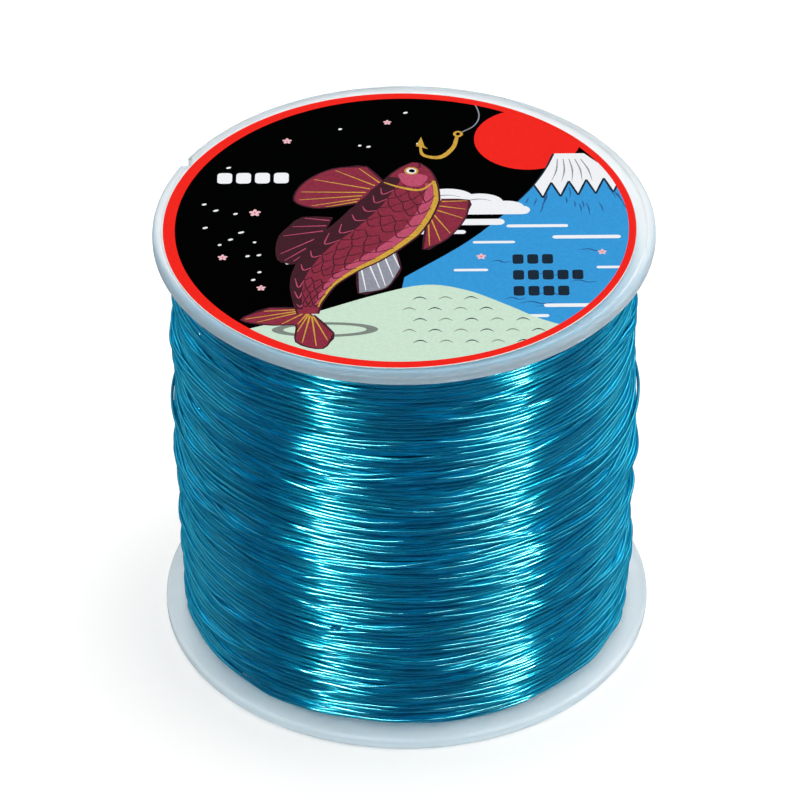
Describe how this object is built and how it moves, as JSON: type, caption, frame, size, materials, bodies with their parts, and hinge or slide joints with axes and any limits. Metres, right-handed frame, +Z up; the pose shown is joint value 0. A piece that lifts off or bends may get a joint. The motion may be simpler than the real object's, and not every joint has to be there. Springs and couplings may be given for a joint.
{
  "type": "fishing line spool",
  "caption": "Round translucent plastic spool wound full of blue monofilament fishing line, with a printed sticker on its top flange.",
  "frame": {"origin": "centre of the lower flange's foot ring, on the plane that the spool stands on", "axes": "+Z up along the spool's axis, -Y towards the viewer who reads the sticker upright, +X to that viewer's right"},
  "size_m": [0.062, 0.062, 0.0585],
  "materials": {
    "milky_plastic": "satin, milky translucent polypropylene moulding",
    "blue_line": "clear glossy extruded nylon monofilament, tinted blue",
    "printed_sticker": "glossy printed vinyl sticker with a red border"
  },
  "bodies": {
    "spool": {"top_flange": "milky_plastic", "bottom_flange": "milky_plastic", "core_barrel": "milky_plastic", "top_label": "printed_sticker", "line_pack": "blue_line", "outer_wraps": "blue_line", "tied_inner_end": "blue_line"},
    "last_turn": {"last_turn": "blue_line"},
    "free_end": {"free_end": "blue_line"}
  },
  "joints": [
    {"name": "pay_out", "type": "hinge", "parent": "spool", "child": "last_turn", "pos_m": [0, 0, 0.0334], "axis": [0, 0, 1], "continuous": true},
    {"name": "free_end_lift", "type": "hinge", "parent": "last_turn", "child": "free_end", "pos_m": [0.00761, 0.02842, 0.0322], "axis": [0, 0, 1], "range_deg": [0, 100]}
  ]
}
